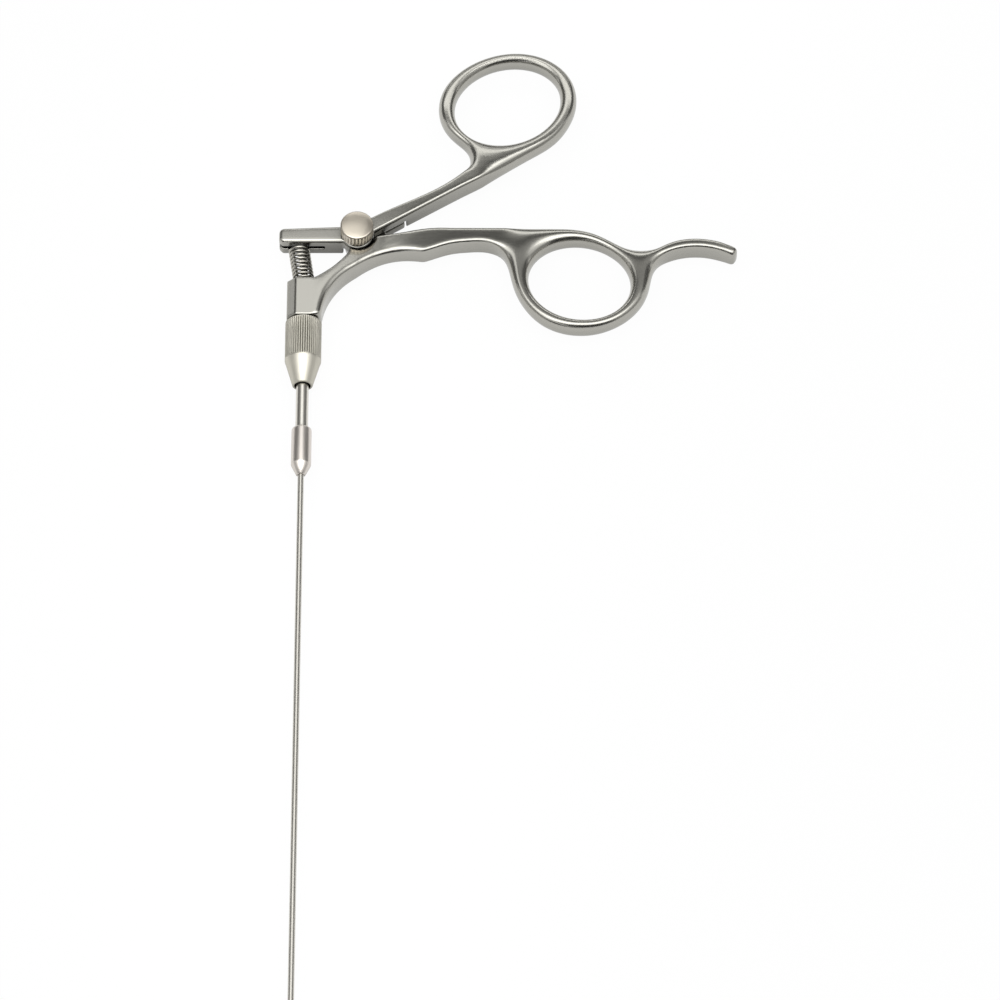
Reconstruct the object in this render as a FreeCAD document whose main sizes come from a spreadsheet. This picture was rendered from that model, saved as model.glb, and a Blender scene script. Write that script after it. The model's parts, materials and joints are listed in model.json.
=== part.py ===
import FreeCAD, Part
import Sketcher
import math
import os
import re

from FreeCAD import Placement, Rotation, Vector

# Percutaneous nephrolithotomy forceps, modelled at real size in millimetres.
# The shaft axis is the Y axis: +Y is towards the handle, -Y towards the jaws.
# The handle plate lies in the XY plane, the finger rings are on the +X side and
# +Z is the front face of the handle. The origin is on the shaft axis where the
# working shaft leaves the ferrule.

SIZES = {
    # working shaft
    "working_length": 360.0,
    "shaft_radius": 0.835,
    "shaft_bore": 0.585,
    "shaft_socket": 9.0,
    "shaft_end_radius": 0.68,
    "tip_radius": 0.76,
    "wire_radius": 0.4,
    # ferrule and stem
    "ferrule_radius": 2.7,
    "ferrule_length": 14.4,
    "ferrule_cone": 3.0,
    "ferrule_nose_radius": 1.3,
    "ferrule_round": 0.9,
    "stem_radius": 1.54,
    "stem_bore": 0.9,
    "stem_exposed": 13.3,
    "stem_pilot": 5.0,
    "flange_radius": 3.2,
    "flange_thickness": 1.2,
    # coupling nut
    "nut_radius": 4.9,
    "nut_length": 20.1,
    "nut_cone": 7.6,
    "nut_nose_radius": 2.75,
    "nut_mouth_radius": 2.2,
    "nut_mouth_depth": 2.5,
    "nut_band": 0.15,
    "nut_wall_below_flange": 5.5,
    "nut_chamfer": 0.6,
    "spigot_radius": 3.35,
    "knurl_depth": 0.28,
    "knurl_count": 46,
    # barrel and handle plates
    "barrel_height": 11.8,
    "barrel_half_width": 4.6,
    "barrel_half_depth": 4.2,
    "barrel_facet": 2.4,
    "barrel_bore": 1.0,
    "plate_thickness": 6.6,
    "taper_start": 7.0,
    "taper_end": 22.0,
    "edge_round": 0.8,
    "ring_edge_round": 0.9,
    "lap_gap": 0.1,
    "running": 0.05,
    # pivot and crank
    "pivot_across": 14.2,
    "pivot_above_barrel": 14.2,
    "crank_under_gap": 11.8,
    "crank_slot": 1.3,
    "crank_slot_start": -8.0,
    "crank_slot_end": 5.4,
    "ball_channel_radius": 1.25,
    "ball_radius": 1.15,
    "ball_neck_radius": 0.55,
    "ball_above_crank": 2.25,
    "rod_socket_depth": 7.0,
    "fixed_boss_radius": 3.5,
    "thumb_boss_radius": 4.55,
    "recess_radius": 5.1,
    "boss_clearance": 0.35,
    # pivot screw and bush
    "screw_radius": 1.5,
    "screw_end_gap": 0.3,
    "screw_end_chamfer": 0.3,
    "bush_radius": 2.2,
    "screw_head_radius": 4.45,
    "screw_head_height": 4.9,
    "screw_neck_step": 0.7,
    "screw_neck_height": 0.6,
    "screw_face_radius": 3.6,
    "screw_face_chamfer": 0.35,
    "screw_dish": 0.2,
    "screw_knurl_depth": 0.28,
    "screw_knurl_count": 28,
    # thumb ring
    "thumb_ring_across": 55.0,
    "thumb_ring_above_barrel": 57.6,
    "thumb_hole_long": 15.55,
    "thumb_hole_short": 13.2,
    "thumb_hole_tilt": 30.0,
    # finger ring
    "finger_ring_across": 74.4,
    "finger_ring_above_barrel": 0.4,
    "finger_hole_long": 14.6,
    "finger_hole_short": 12.75,
    "finger_hole_tilt": -17.0,
    # return spring
    "spring_radius": 2.62,
    "spring_wire": 0.33,
    "spring_coils": 9.5,
    "spring_lean": 1.65,
    "spring_seat": 0.05,
    # jaws and their links
    "jaw_length": 6.0,
    "jaw_width": 1.3,
    "jaw_open_angle": 30.0,
    "jaw_hub_radius": 0.46,
    "jaw_root": 0.72,
    "jaw_inner": 0.26,
    "jaw_back": 0.82,
    "tooth_pitch": 0.95,
    "tooth_depth": 0.2,
    "tooth_count": 4,
    "tail_length": 1.58,
    "tail_angle": 15.0,
    "eye_slot": 0.06,
    "link_length": 1.6,
    "ear_radius": 0.3,
    "ear_waist": 0.85,
    "layer": 0.2,
    "layer_gap": 0.015,
    "pin_radius": 0.14,
    "pin_clearance": 0.02,
    "tongue_length": 1.3,
    "tongue_collar": 0.7,
    # tip fork
    "fork_length": 8.0,
    "fork_neck_radius": 0.65,
    "fork_neck_length": 0.5,
    "fork_slot": 0.9,
    "fork_slot_length": 4.6,
    "fork_end_radius": 0.62,
    "fork_pin_radius": 0.22,
    "fork_pin_inset": 0.01,
}

# Places that follow from the sizes
PLACES = {
    "nut_low": "ferrule_length + stem_exposed",
    "barrel_low": "nut_low + nut_length",
    "barrel_top": "barrel_low + barrel_height",
    "flange_low": "nut_low + nut_wall_below_flange",
    "flange_top": "flange_low + flange_thickness",
    "pivot_along": "barrel_top + pivot_above_barrel",
    "crank_low": "barrel_top + crank_under_gap",
    "ball_along": "crank_low + ball_above_crank",
    "rod_socket": "barrel_low + 1",
    "wire_top": "rod_socket + rod_socket_depth",
    "half_plate": "plate_thickness / 2",
    "half_gap": "lap_gap / 2",
    "screw_under": "half_plate + lap_gap",
    "screw_face": "screw_under + screw_head_height",
    "screw_end": "screw_end_gap - half_plate",
    "jaw_pivot": "jaw_length - working_length",
    "fork_top": "jaw_pivot + fork_length",
    "tail_across": "tail_length * sin(tail_angle + jaw_open_angle)",
    "tail_along": "jaw_pivot + tail_length * cos(tail_angle + jaw_open_angle)",
    "rod_pin": "tail_along + sqrt(link_length ^ 2 - tail_across ^ 2)",
    "tongue_top": "rod_pin + tongue_length + ear_radius + 0.1",
    "tail_low": "layer_gap / 2",
    "tail_high": "tail_low + layer",
    "link_low": "tail_high + layer_gap",
    "link_high": "link_low + layer",
}

# Reach of the cuts that only have to pass their piece
PAST = 10.0

doc = FreeCAD.newDocument("forceps")
nodes = []


def cell(text):
    """Expression in which each name points at its cell in the sheets."""
    def point(match):
        word = match.group()
        if word in SIZES:
            return "Sizes." + word
        return "Places." + word if word in PLACES else word
    return re.sub(r"[a-z]\w*", point, text)


def fill_sheets():
    """Spreadsheets of the driving sizes and of the places that follow from them."""
    sizes = doc.addObject("Spreadsheet::Sheet", "Sizes")
    for row, (alias, value) in enumerate(SIZES.items(), start=1):
        sizes.set("A%d" % row, alias)
        sizes.set("B%d" % row, str(value))
        sizes.setAlias("B%d" % row, alias)
    doc.recompute()
    places = doc.addObject("Spreadsheet::Sheet", "Places")
    for row, alias in enumerate(PLACES, start=1):
        places.set("A%d" % row, alias)
        places.setAlias("B%d" % row, alias)
    for row, text in enumerate(PLACES.values(), start=1):
        places.set("B%d" % row, "=" + cell(text))
    doc.recompute()


def size(name):
    """Present value of a size or a place."""
    sheet = doc.Sizes if name in SIZES else doc.Places
    return float(sheet.get(name))


# Document helpers: lengths and positions are expressions of the sizes

TURNS = {"x": ((0, 1, 0), 90), "y": ((1, 0, 0), -90), "z": ((0, 0, 1), 0)}


def bind(piece, **texts):
    for prop, text in texts.items():
        piece.setExpression(prop, cell(text))
    return piece


def move_to(piece, spot):
    for axis, text in zip("xyz", spot):
        if text != "0":
            piece.setExpression(".Placement.Base." + axis, cell(text))
    return piece


def rod(name, axis, radius, length, start):
    """Cylinder along one axis from the point start."""
    piece = bind(doc.addObject("Part::Cylinder", name), Radius=radius, Height=length)
    direction, angle = TURNS[axis]
    piece.Placement = Placement(Vector(), Rotation(Vector(*direction), angle))
    return move_to(piece, start)


def disc(name, spot, radius, low, high):
    """Cylinder along Z about a point of the XY plane."""
    return rod(name, "z", radius, "(%s) - (%s)" % (high, low), (spot[0], spot[1], low))


def block(name, low, high):
    """Box between two corners."""
    piece = doc.addObject("Part::Box", name)
    spans = ["(%s) - (%s)" % pair for pair in zip(high, low)]
    bind(piece, Length=spans[0], Width=spans[1], Height=spans[2])
    return move_to(piece, low)


def joined(name, pieces):
    fuse = doc.addObject("Part::MultiFuse", name)
    fuse.Shapes = pieces
    fuse.Refine = True
    return fuse


def two_piece(kind, name, base, tool):
    piece = doc.addObject(kind, name)
    piece.Base = base
    piece.Tool = tool
    return piece


def cut_away(name, base, tool):
    return two_piece("Part::Cut", name, base, tool)


def kept_within(name, base, tool):
    return two_piece("Part::Common", name, base, tool)


def rounded(name, base, choose, radius):
    """Fillet on the edges of base that choose accepts."""
    doc.recompute()
    fillet = doc.addObject("Part::Fillet", name)
    fillet.Base = base
    fillet.Edges = [(index, radius, radius)
                    for index, edge in enumerate(base.Shape.Edges, start=1) if choose(edge)]
    return fillet


def kept(name, piece):
    """Marks a finished sub-part and gives it its label."""
    piece.Label = name
    nodes.append(piece)
    return piece


def flat_sketch(name, steps, spot=("0", "0", "0")):
    """Sketch of a closed outline in the XY plane, drawn about spot.

    A step of two points is a line, of three an arc and of more a smooth curve."""
    sketch = doc.addObject("Sketcher::SketchObject", name)
    for step in steps:
        points = [Vector(x, y, 0) for x, y in step]
        if len(points) == 2:
            sketch.addGeometry(Part.LineSegment(points[0], points[1]), False)
        elif len(points) == 3:
            sketch.addGeometry(Part.Arc(*points), False)
        else:
            curve = Part.BSplineCurve()
            curve.interpolate(points)
            sketch.addGeometry(curve, False)
    return move_to(sketch, spot)


def chain(*steps):
    """Adds the end of each step to the front of the next and closes the outline."""
    result = []
    last = steps[-1][-1]
    for step in steps:
        result.append([last] + list(step))
        last = step[-1]
    return result


def polygon(points):
    return [[points[k - 1], points[k]] for k in range(len(points))]


def extruded(name, sketch, direction, low, high):
    """Solid that a closed sketch sweeps from low to high along a direction."""
    solid = doc.addObject("Part::Extrusion", name)
    solid.Base = sketch
    solid.DirMode = "Custom"
    solid.Dir = Vector(*direction)
    solid.Solid = True
    return bind(solid, LengthFwd=high, LengthRev="0 - (%s)" % low)


def slab(name, sketch, low, high):
    return extruded(name, sketch, (0, 0, 1), low, high)


def on_end(sketch):
    """Turns a sketch so that it is drawn in the XZ plane."""
    base = sketch.Placement.Base
    sketch.Placement = Placement(base, Rotation(Vector(1, 0, 0), 90))
    return sketch


# Body helpers

def origin_plane(body, role):
    for feature in body.Origin.OriginFeatures:
        if feature.Role == role:
            return feature
    raise ValueError("no plane " + role)


def new_sketch(body, name, role):
    sketch = body.newObject("Sketcher::SketchObject", name)
    sketch.AttachmentSupport = (origin_plane(body, role), [""])
    sketch.MapMode = "FlatFace"
    return sketch


def bound_profile(body, name, corners, role):
    """Closed polygon whose corners are held by expressions of the sizes."""
    sketch = new_sketch(body, name, role)
    count = len(corners)
    turn = 2 * math.pi / count
    first = [Vector(10 + 5 * math.cos(k * turn), 20 + 5 * math.sin(k * turn), 0)
             for k in range(count)]
    rules = []
    texts = []
    for k in range(count):
        sketch.addGeometry(Part.LineSegment(first[k], first[(k + 1) % count]), False)
    for k, (across, along) in enumerate(corners):
        rules.append(Sketcher.Constraint("Coincident", k, 2, (k + 1) % count, 1))
        for kind, axis, value, text in (("DistanceX", -2, first[k].x, across),
                                        ("DistanceY", -1, first[k].y, along)):
            if text == "0":
                rules.append(Sketcher.Constraint("PointOnObject", k, 1, axis))
            else:
                rules.append(Sketcher.Constraint(kind, -1, 1, k, 1, value))
                texts.append((len(rules) - 1, text))
    sketch.addConstraint(rules)
    for index, text in texts:
        sketch.setExpression("Constraints[%d]" % index, cell(text))
    return sketch


def turned(name, corners, role="XY_Plane"):
    """Body turned about the sketch's upright axis: corners are (radius, level)."""
    body = doc.addObject("PartDesign::Body", name)
    kept(name, body)
    sketch = bound_profile(body, name + "_profile", corners, role)
    turn = body.newObject("PartDesign::Revolution", name + "_turning")
    turn.Profile = sketch
    turn.ReferenceAxis = (sketch, ["V_Axis"])
    turn.Angle = 360
    doc.recompute()
    return body


def knurl(body, name, radius, depth, count, low, high, role):
    """Straight knurl: one V groove repeated round the body's axis."""
    before = body.Shape.Volume
    half = math.pi * size(radius) / size(count) * 0.72
    deep = size(radius) - size(depth)
    outside = size(radius) * 1.04
    corners = [Vector(deep, 0, 0), Vector(outside, -half, 0), Vector(outside, half, 0)]
    sketch = new_sketch(body, name + "_profile", role)
    for k in range(len(corners)):
        sketch.addGeometry(Part.LineSegment(corners[k - 1], corners[k]), False)
    upright = role == "XY_Plane"
    bind(sketch, **{".AttachmentOffset.Base.z": low if upright else "0 - (%s)" % low})
    groove = body.newObject("PartDesign::Pocket", name)
    groove.Profile = sketch
    groove.Reversed = upright
    bind(groove, Length="(%s) - (%s)" % (high, low))
    doc.recompute()
    ring = body.newObject("PartDesign::PolarPattern", name + "s")
    ring.Originals = [groove]
    ring.Axis = (sketch, ["N_Axis"])
    ring.Angle = 360
    bind(ring, Occurrences=count)
    body.Tip = ring
    doc.recompute()
    if body.Shape.Volume > before * 0.995:
        raise ValueError("the knurl of " + name + " cuts nothing")


# Turned pieces on the shaft axis

def make_ferrule():
    """Ferrule that joins the shaft tube to the stem, with a rounded shoulder."""
    rim = []
    for k in range(5):
        angle = k * math.pi / 8
        rim.append(("ferrule_radius - ferrule_round * %.4f" % (1 - math.cos(angle)),
                    "ferrule_length - ferrule_round * %.4f" % (1 - math.sin(angle))))
    turned("ferrule", [
        ("shaft_end_radius", "0"), ("ferrule_nose_radius", "0"),
        ("ferrule_radius", "ferrule_cone")] + rim + [
            ("stem_radius", "ferrule_length"), ("stem_radius", "shaft_socket"),
            ("shaft_end_radius", "shaft_socket")])


def make_stem():
    """Stem tube with the flange that the nut clamps and a pilot that centres it."""
    pilot_top = "flange_top + stem_pilot"
    turned("stem_tube", [
        ("stem_bore", "shaft_socket"), ("stem_radius", "shaft_socket"),
        ("stem_radius", "flange_low"), ("flange_radius", "flange_low"),
        ("flange_radius", "flange_top"), ("stem_radius", "flange_top"),
        ("stem_radius", pilot_top), ("stem_bore", pilot_top)])


def make_nut():
    """Coupling nut: knurled grip, cone and a mouth round the stem."""
    top = "barrel_low - lap_gap"
    seat = "flange_low - running"
    mouth_end = "nut_low + nut_mouth_depth"
    body = turned("coupling_nut", [
        ("nut_mouth_radius", "nut_low"), ("nut_nose_radius", "nut_low"),
        ("nut_radius", "nut_low + nut_cone"), ("nut_radius", top + " - nut_chamfer"),
        ("nut_radius - nut_chamfer", top), ("spigot_radius + running", top),
        ("spigot_radius + running", seat), ("stem_radius + running", seat),
        ("stem_radius + running", mouth_end), ("nut_mouth_radius", mouth_end)])
    knurl(body, "nut_groove", "nut_radius", "knurl_depth", "knurl_count",
          "nut_low + nut_cone + nut_band", "barrel_low", "XZ_Plane")


def make_shaft():
    """Thin tube between the ferrule and the tip fork, its upper end fitted to the ferrule."""
    turned("shaft_tube", [
        ("shaft_bore", "shaft_socket"), ("shaft_end_radius", "shaft_socket"),
        ("shaft_end_radius", "0"), ("shaft_radius", "0"),
        ("shaft_radius", "fork_top"), ("shaft_bore", "fork_top")])


# Handle: outlines are drawn above the barrel's top face

ON_BARREL = ("0", "barrel_top", "0")
PIVOT = ("pivot_across", "pivot_along")


def fixed_outline():
    """Neck, grip with two finger scallops, ring and spur."""
    across, above = size("pivot_across"), size("pivot_above_barrel")
    boss = size("fixed_boss_radius")
    half, low = size("barrel_half_width"), -size("barrel_height")
    return chain(
        [(half, low)],
        [(7.2, -3.1), (14.2, 4.0)],
        [(22.8, 8.35), (32.2, 8.7)],
        [(35.7, 10.0), (39.3, 11.2), (44.8, 11.9), (50.2, 11.6), (53.2, 9.9), (55.4, 6.4),
         (56.3, 2.0), (57.8, -3.1), (60.6, -8.0), (64.6, -12.0), (69.7, -14.4), (74.6, -15.1),
         (80.0, -14.3), (85.4, -11.8), (89.5, -8.2), (92.0, -4.2), (93.2, 0.2), (93.8, 3.9),
         (97.0, 7.8), (101.7, 9.8), (106.4, 10.3), (111.2, 9.6), (116.2, 7.5)],
        [(117.6, 10.1)],
        [(114.0, 11.7), (110.2, 12.8), (105.3, 13.2), (99.8, 12.2), (95.6, 10.3),
         (91.8, 9.4), (87.8, 9.9), (83.0, 12.5), (78.4, 15.1), (74.4, 16.2), (69.0, 16.6)],
        [(39.4, 16.65)],
        [(33.2, 16.5), (27.4, 15.4)],
        [(across + boss * 0.31, above + boss * 0.95)],
        [(across - boss * 0.95, above + boss * 0.28), (across - boss * 0.91, above - boss * 0.4)],
        [(12.2, 9.0)],
        [(9.0, 5.0), (2.4, 0.0)],
        [(0.0, 0.0)],
        [(0.0, low)])


def thumb_outline():
    """Crank, pivot boss, shank, web and ring."""
    across, above = size("pivot_across"), size("pivot_above_barrel")
    boss = size("thumb_boss_radius")
    under = size("crank_under_gap")
    return chain(
        [(across - boss * 0.85, under)],
        [(across, above - boss), (across + boss * 0.98, above + boss * 0.176)],
        [(43.0, 29.9)],
        [(52.9, 35.9), (61.5, 41.7), (67.6, 46.0), (71.8, 51.8), (73.9, 59.2), (72.5, 65.6),
         (66.9, 71.7), (58.45, 74.3), (49.5, 72.8), (41.2, 67.5), (36.6, 60.0), (36.9, 52.4),
         (40.6, 46.9), (43.9, 43.8), (45.3, 40.5), (44.9, 37.4), (42.4, 34.3), (36.6, 29.8),
         (25.7, 23.8), (19.0, 20.2)],
        [(across, above + boss)],
        [(9.5, 16.9)],
        [(-5.3, 16.3)],
        [(-6.55, 15.9), (-7.0, 14.7)],
        [(-7.0, 12.7)],
        [(-6.1, under)])


def ring_hole(name, kind, half_height):
    """Prism of a tilted ellipse, for the opening of a ring."""
    lean = math.radians(size(kind + "_hole_tilt"))
    far = Vector(math.cos(lean), math.sin(lean), 0) * size(kind + "_hole_long")
    near = Vector(-math.sin(lean), math.cos(lean), 0) * size(kind + "_hole_short")
    sketch = doc.addObject("Sketcher::SketchObject", name + "_outline")
    sketch.addGeometry(Part.Ellipse(far, near, Vector()), False)
    move_to(sketch, (kind + "_ring_across", "barrel_top + %s_ring_above_barrel" % kind, "0"))
    return slab(name, sketch, "0 - (%s)" % half_height, half_height)


def barrel():
    """Eight-sided barrel on the shaft axis."""
    wide, deep = size("barrel_half_width"), size("barrel_half_depth")
    facet = size("barrel_facet")
    section = [(wide, deep - facet), (wide - facet, deep), (facet - wide, deep),
               (-wide, deep - facet), (-wide, facet - deep), (facet - wide, -deep),
               (wide - facet, -deep), (wide, facet - deep)]
    sketch = on_end(flat_sketch("barrel_section", polygon(section), ("0", "barrel_low", "0")))
    return extruded("barrel_block", sketch, (0, 1, 0), "0", "barrel_height")


def side_form():
    """Side view of the fixed plate, thicker towards the barrel."""
    half, deep = size("half_plate"), size("barrel_half_depth")
    start, end = size("taper_start"), size("taper_end")
    reach = size("working_length")
    profile = [(-PAST, -deep), (start, -deep), (end, -half), (reach, -half),
               (reach, half), (end, half), (start, deep), (-PAST, deep)]
    sketch = on_end(flat_sketch("side_profile", polygon(profile)))
    return extruded("side_block", sketch, (0, 1, 0), "0", "barrel_top * 3")


def fixed_plate():
    """Plate of the fixed handle with its ring open and its rims rounded."""
    plate = slab("fixed_slab", flat_sketch("fixed_outline", fixed_outline(), ON_BARREL),
                 "0 - barrel_half_depth", "barrel_half_depth")
    tapered = kept_within("fixed_taper", plate, side_form())
    hole = ring_hole("finger_hole", "finger", "barrel_half_depth + 1")
    open_plate = cut_away("fixed_open", tapered, hole)
    pivot_low = size("pivot_along") - 6.0
    pivot_right = size("pivot_across") + 13.3

    def on_rim(edge):
        box = edge.BoundBox
        crease = box.XLength < 0.001
        at_pivot = box.YMin > pivot_low and box.XMax < pivot_right
        return box.ZLength < 1.5 and not (crease or at_pivot)
    return rounded("fixed_soft", open_plate, on_rim, size("edge_round"))


def front_recess():
    """Room in the front half of the fixed plate for the thumb handle."""
    edge = [(17.2, 13.35), (27.9, 15.35), (27.9, 30), (9.1, 30), (9.1, 14.2)]
    return joined("front_recess", [
        disc("recess_round", PIVOT, "recess_radius", "half_gap", str(PAST)),
        slab("recess_wedge", flat_sketch("recess_outline", polygon(edge), ON_BARREL),
             "half_gap", str(PAST))])


def make_fixed_handle():
    """Fixed handle: plate, barrel and spigot, less the pivot's and the rod's room."""
    spigot = rod("barrel_spigot", "y", "spigot_radius", "barrel_low + 1 - flange_top",
                 ("0", "flange_top", "0"))
    whole = joined("fixed_whole", [fixed_plate(), barrel(), spigot])
    above = block("above_boss", ("9", "pivot_along + 3.6", "-10"),
                  ("27", "pivot_along + 12", "10"))
    bore = rod("rod_bore", "y", "barrel_bore", "barrel_top + 5 - nut_low", ("0", "nut_low", "0"))
    pilot = rod("pilot_bore", "y", "stem_radius + running", "flange_top + stem_pilot + 0.4 - nut_low",
                ("0", "nut_low", "0"))
    screw = disc("screw_hole", PIVOT, "screw_radius + running", "-10", "10")
    tools = joined("fixed_tools", [front_recess(), above, bore, pilot, screw])
    kept("fixed_handle", cut_away("fixed_handle", whole, tools))


def rear_lap():
    """Rear half of the thumb handle that makes way for the fixed plate."""
    edge = [(10.4, 4), (27.3, 4), (27.3, 40), (11.2, 40), (11.2, 16.5), (10.4, 14.2)]
    return joined("rear_lap", [
        disc("lap_round", PIVOT, "fixed_boss_radius + boss_clearance", "-10", "half_gap"),
        slab("lap_side", flat_sketch("lap_outline", polygon(edge), ON_BARREL), "-10", "half_gap")])


def make_thumb_handle():
    """Thumb handle: crank with the ball's channel, half-lap boss, shank and ring."""
    half = size("half_plate")

    def on_face(edge):
        box = edge.BoundBox
        return abs(abs(box.ZMin) - half) < 0.001 and box.ZLength < 0.001
    plate = slab("thumb_slab", flat_sketch("thumb_outline", thumb_outline(), ON_BARREL),
                 "0 - half_plate", "half_plate")
    open_plate = cut_away("thumb_open", plate, ring_hole("thumb_hole", "thumb", "half_plate + 1"))
    soft = rounded("thumb_soft", open_plate, on_face, size("ring_edge_round"))
    slot = block("crank_slot_cut", ("crank_slot_start", "crank_low - 1", "0 - crank_slot / 2"),
                 ("crank_slot_end", "ball_along", "crank_slot / 2"))
    channel = rod("ball_channel", "x", "ball_channel_radius", "crank_slot_end - crank_slot_start",
                  ("crank_slot_start", "ball_along", "0"))
    bush_hole = disc("bush_hole", PIVOT, "bush_radius", "-10", "10")
    tools = joined("thumb_tools", [rear_lap(), slot, channel, bush_hole])
    kept("thumb_handle", cut_away("thumb_handle", soft, tools))


def make_bush():
    """Bush in the thumb handle's boss that turns on the pivot screw."""
    outside = disc("bush_outside", PIVOT, "bush_radius", "half_gap", "half_plate")
    inside = disc("bush_inside", PIVOT, "screw_radius + running", "-1", "10")
    kept("pivot_bush", cut_away("pivot_bush", outside, inside))


def make_screw():
    """Pivot screw with a dished, knurled head."""
    head, face = "screw_head_radius", "screw_face"
    neck = head + " - screw_neck_step"
    dish = face + " - screw_dish"
    body = turned("pivot_screw", [
        ("0", "screw_end"), ("screw_radius - screw_end_chamfer", "screw_end"),
        ("screw_radius", "screw_end + screw_end_chamfer"), ("screw_radius", "screw_under"),
        (neck, "screw_under"), (neck, "screw_under + screw_neck_height"),
        (head, "screw_under + screw_neck_height + screw_end_chamfer"),
        (head, face + " - screw_face_chamfer"), (head + " - screw_face_chamfer", face),
        ("screw_face_radius + screw_dish", face), ("screw_face_radius", dish), ("0", dish)],
        "XZ_Plane")
    knurl(body, "screw_groove", head, "screw_knurl_depth", "screw_knurl_count",
          "screw_under + screw_neck_height - 0.2", face + " - screw_face_chamfer", "XY_Plane")
    move_to(body, PIVOT + ("0",))


def make_spring():
    """Return spring between the barrel and the crank, leaning as it is fitted."""
    wire, radius = size("spring_wire"), size("spring_radius")
    seat = wire + size("spring_seat")
    free = size("crank_under_gap") - 2 * seat
    helix = Part.makeHelix(free / size("spring_coils"), free, radius)
    section = Part.Wire([Part.makeCircle(wire, Vector(radius, 0, 0), Vector(0, 1, 0))])
    coil = Part.Wire(helix.Edges).makePipeShell([section], True, True)
    coil.rotate(Vector(0, 0, 0), Vector(1, 0, 0), -90)
    skew = FreeCAD.Matrix()
    skew.A12 = -size("spring_lean") / free
    coil = coil.transformGeometry(skew)
    coil.translate(Vector(0, size("barrel_top") + seat, 0))
    spring = doc.addObject("Part::Feature", "return_spring")
    spring.Shape = coil
    kept("return_spring", spring)


def make_drive():
    """Pull wire with the ball end that the crank lifts."""
    ball = bind(doc.addObject("Part::Sphere", "drive_ball"), Radius="ball_radius")
    move_to(ball, ("0", "ball_along", "0"))
    stalk = rod("drive_stalk", "y", "ball_neck_radius", "ball_along - rod_socket",
                ("0", "rod_socket", "0"))
    seat = rod("wire_seat", "y", "wire_radius", "rod_socket_depth + 1",
               ("0", "rod_socket - 1", "0"))
    kept("drive_ball_end", cut_away("drive_ball_end", joined("ball_and_stalk", [ball, stalk]), seat))
    kept("drive_wire", rod("drive_wire", "y", "wire_radius", "wire_top - tongue_top",
                           ("0", "tongue_top", "0")))


# Jaws: the tails lie in the fork's inner layers and the links in its outer layers

def bar(name, low_end, high_end, radii, low, high):
    """Flat bar between two round ends, given as (across, along) numbers."""
    along = Vector(*high_end) - Vector(*low_end)
    along = along.normalize()
    side = Vector(-along.y, along.x, 0) * size("ear_radius") * size("ear_waist")
    ends = [Vector(*low_end), Vector(*high_end)]
    corners = [ends[0] + side, ends[0] - side, ends[1] - side, ends[1] + side]
    web = slab(name + "_web", flat_sketch(name + "_flat", polygon([(c.x, c.y) for c in corners])),
               low, high)
    rounds = [disc("%s_end%d" % (name, k), (str(end.x), str(end.y)), radius, low, high)
              for k, (end, radius) in enumerate(zip(ends, radii))]
    return joined(name, rounds + [web])


def jaw_profile():
    """Side view of a closed jaw left of the centre line, its teeth on the right."""
    inner, back, root = -size("jaw_inner"), -size("jaw_back"), -size("jaw_root")
    valley = inner - size("tooth_depth")
    reach = size("jaw_length")
    points = [(inner, root)]
    for k in range(int(size("tooth_count"))):
        crest = root - 0.63 - k * size("tooth_pitch")
        points += [(valley, crest + 0.30), (inner, crest), (valley, crest - 0.12)]
    return points + [
        (inner - 0.02, 1.45 - reach), (-0.24, 1.1 - reach), (-0.02, 0.5 - reach),
        (-0.02, 0.08 - reach), (-0.16, -reach), (-0.34, 0.1 - reach),
        (-0.66, 0.9 - reach), (back, 2.2 - reach), (back, root)]


def jaw_blade(name):
    """Jaw blade: half of a round bar with teeth and a hooked tip."""
    blade = slab(name + "_side", flat_sketch(name + "_profile", polygon(jaw_profile())),
                 "0 - jaw_width / 2", "jaw_width / 2")
    stock = rod(name + "_stock", "y", "tip_radius - layer_gap", "jaw_length + 1",
                ("0", "0 - jaw_length - 0.5", "0"))
    clear = disc(name + "_clear", ("0", "0"), "fork_end_radius + 0.1", "-2", "2")
    return cut_away(name + "_blade", kept_within(name + "_round", blade, stock), clear)


def make_jaw(name, angle, flip):
    """Jaw with its hub and tail in one layer of the fork, turned open."""
    hub = disc(name + "_hub", ("0", "0"), "jaw_hub_radius", "tail_low", "tail_high")
    root = -size("jaw_root")
    neck_edge = [(-0.45, 0.0), (root, root - 0.23), (-0.27, root - 0.23), (0.0, -0.45)]
    neck = slab(name + "_neck", flat_sketch(name + "_neck_flat", polygon(neck_edge)),
                "tail_low", "tail_high")
    lean = math.radians(size("tail_angle"))
    eye = [(math.sin(lean) * reach, math.cos(lean) * reach)
           for reach in (size("tail_length") + step * size("eye_slot") for step in (-1, 0, 1))]
    tail = bar(name + "_tail", (0, 0), eye[1], ["ear_radius"] * 2, "tail_low", "tail_high")
    holes = [disc("%s_eye%d" % (name, k), (str(x), str(y)), "pin_radius + running", "-1", "1")
             for k, (x, y) in enumerate((eye[0], eye[2]))]
    holes.append(disc(name + "_pivot_hole", ("0", "0"), "fork_pin_radius + pin_clearance", "-1", "1"))
    whole = joined(name + "_whole", [jaw_blade(name), hub, neck, tail])
    jaw = cut_away(name, whole, joined(name + "_holes", holes))
    turn = Rotation(Vector(0, 0, 1), angle) * Rotation(Vector(0, 1, 0), flip)
    jaw.Placement = Placement(Vector(), turn)
    kept(name, move_to(jaw, ("0", "jaw_pivot", "0")))


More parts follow.
